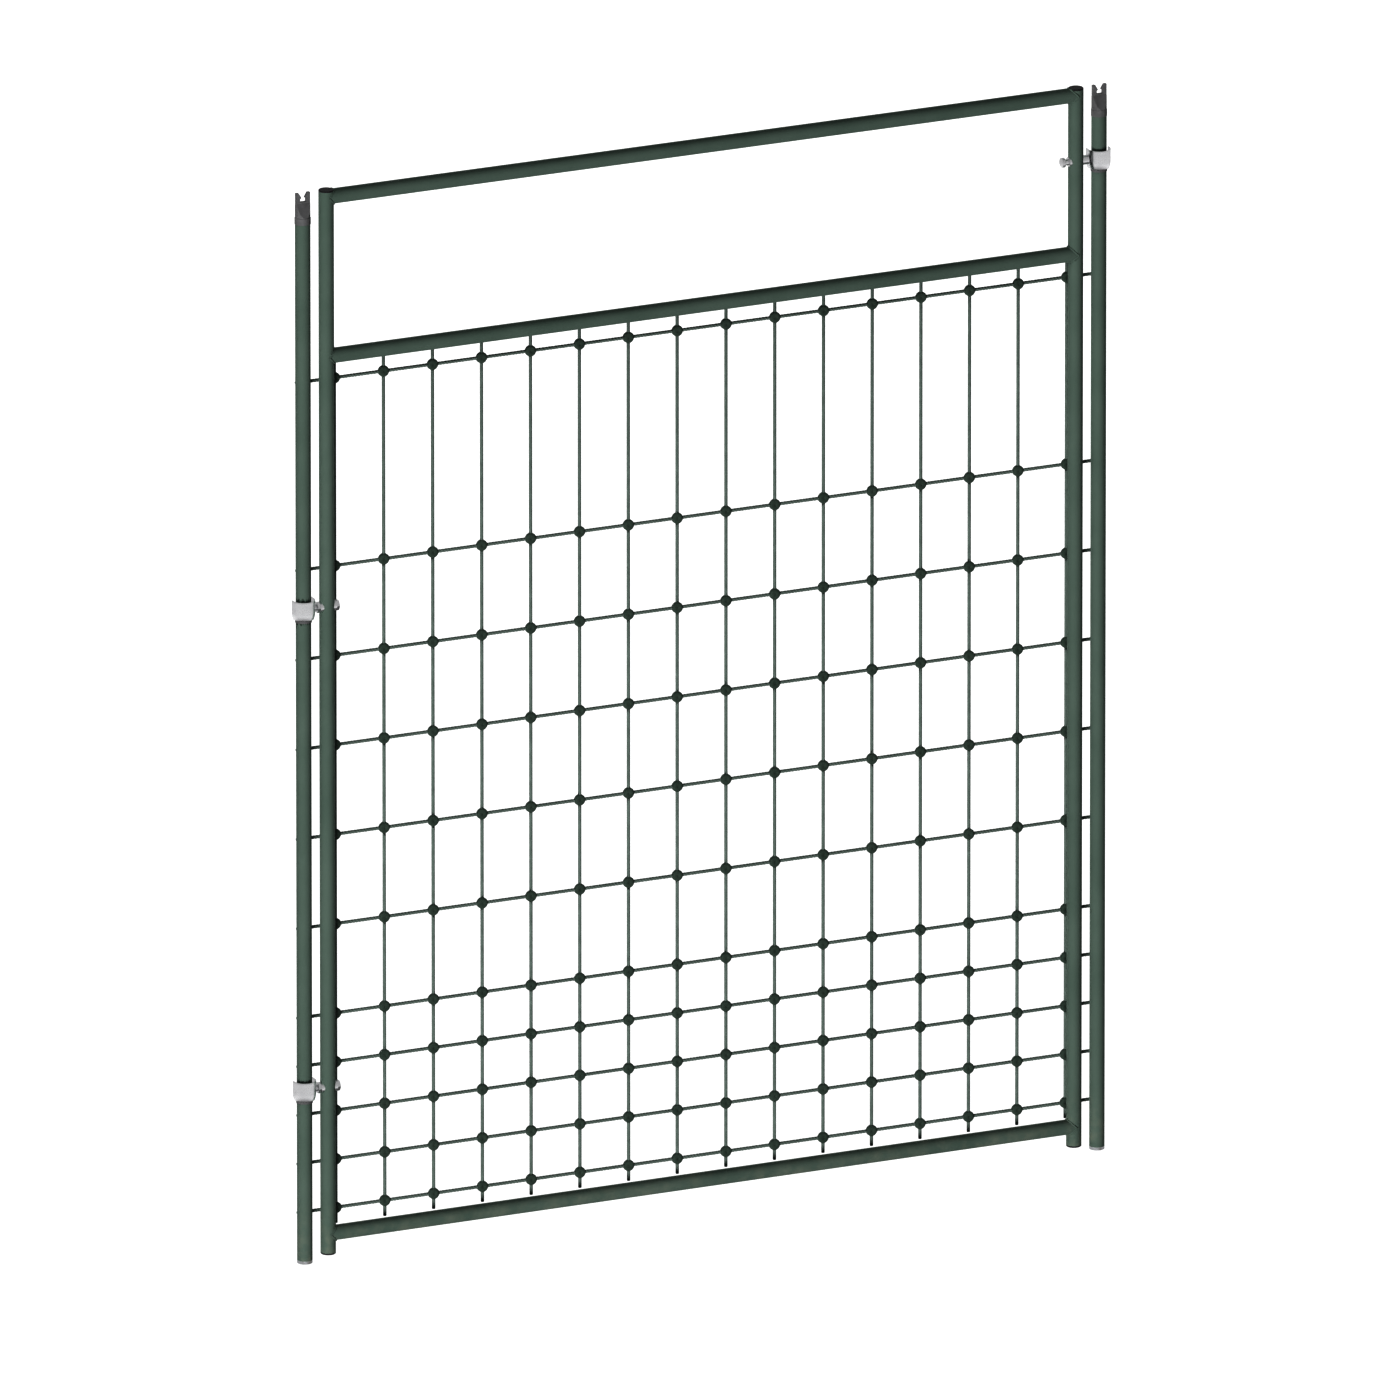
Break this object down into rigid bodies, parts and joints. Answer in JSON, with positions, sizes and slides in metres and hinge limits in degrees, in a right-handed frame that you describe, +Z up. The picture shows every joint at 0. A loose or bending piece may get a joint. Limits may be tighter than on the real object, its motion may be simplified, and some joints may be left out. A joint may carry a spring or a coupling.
{
  "type": "livestock panel gate",
  "caption": "Tube-frame walk-through gate with a strand net below an open top bay, clamped to turn on a spiked ground post and held by a push bolt at a second post.",
  "frame": {"origin": "hinge post's axis at ground level, where the spike leaves the ground", "axes": "+Z up along the hinge post, +X along the closed gate to the latch post, +Y to the side the gate opens to"},
  "size_m": [1.1724, 0.0342, 1.656],
  "materials": {
    "green_paint": "satin powder coat",
    "zinc": "bright zinc plate",
    "spike_steel": "galvanised",
    "cap_plastic": "moulded, fine grain",
    "black_nylon": "moulded",
    "strand": "twisted polymer cord",
    "upright": "extruded rod",
    "knot": "moulded"
  },
  "bodies": {
    "posts": {"hinge_post_tube": "green_paint", "latch_post_tube": "green_paint", "hinge_post_cap": "cap_plastic", "latch_post_cap": "cap_plastic", "hinge_post_spike": "spike_steel", "latch_post_spike": "spike_steel", "upper_stop_collar": "cap_plastic", "lower_stop_collar": "cap_plastic", "strike_collar": "cap_plastic", "collar_screws": "zinc", "strike_saddle": "zinc", "strike_keeper": "zinc", "strike_liner": "black_nylon", "strike_rivet": "zinc", "strike_screw": "zinc"},
    "gate": {"hinge_stile": "green_paint", "latch_stile": "green_paint", "top_rail": "green_paint", "mid_rail": "green_paint", "bottom_rail": "green_paint", "hinge_stile_top_plug": "black_nylon", "hinge_stile_foot_plug": "black_nylon", "latch_stile_top_plug": "black_nylon", "latch_stile_foot_plug": "black_nylon", "hinge_stile_clips": "black_nylon", "latch_stile_clips": "black_nylon", "hinge_clip_rivets": "zinc", "latch_clip_rivets": "zinc", "upper_hinge_saddle": "zinc", "upper_hinge_keeper": "zinc", "upper_hinge_liner": "black_nylon", "upper_hinge_stud": "zinc", "lower_hinge_saddle": "zinc", "lower_hinge_keeper": "zinc", "lower_hinge_liner": "black_nylon", "lower_hinge_stud": "zinc", "saddle_rivets": "zinc", "inner_nuts": "zinc", "adjusting_nuts": "zinc", "radius_washers": "zinc", "latch_outer_ferrule": "zinc", "latch_inner_ferrule": "zinc", "net_line_01": "strand", "net_line_02": "strand", "net_line_03": "strand", "net_line_04": "strand", "net_line_05": "strand", "net_line_06": "strand", "net_line_07": "strand", "net_line_08": "strand", "net_line_09": "strand", "net_line_10": "strand", "net_line_11": "strand", "net_uprights": "upright", "net_knots": "knot"},
    "bolt": {"latch_bolt": "zinc", "latch_knob": "zinc", "latch_knob_pin": "zinc", "bolt_stop_ring": "zinc"}
  },
  "joints": [
    {"name": "gate_swing", "type": "hinge", "parent": "posts", "child": "gate", "pos_m": [0, 0, 0.5635], "axis": [0, 0, 1], "range_deg": [0, 165]},
    {"name": "latch_bolt_slide", "type": "slide", "parent": "gate", "child": "bolt", "axis": [1, 0, 0], "range_m": [0, 0.005]}
  ]
}
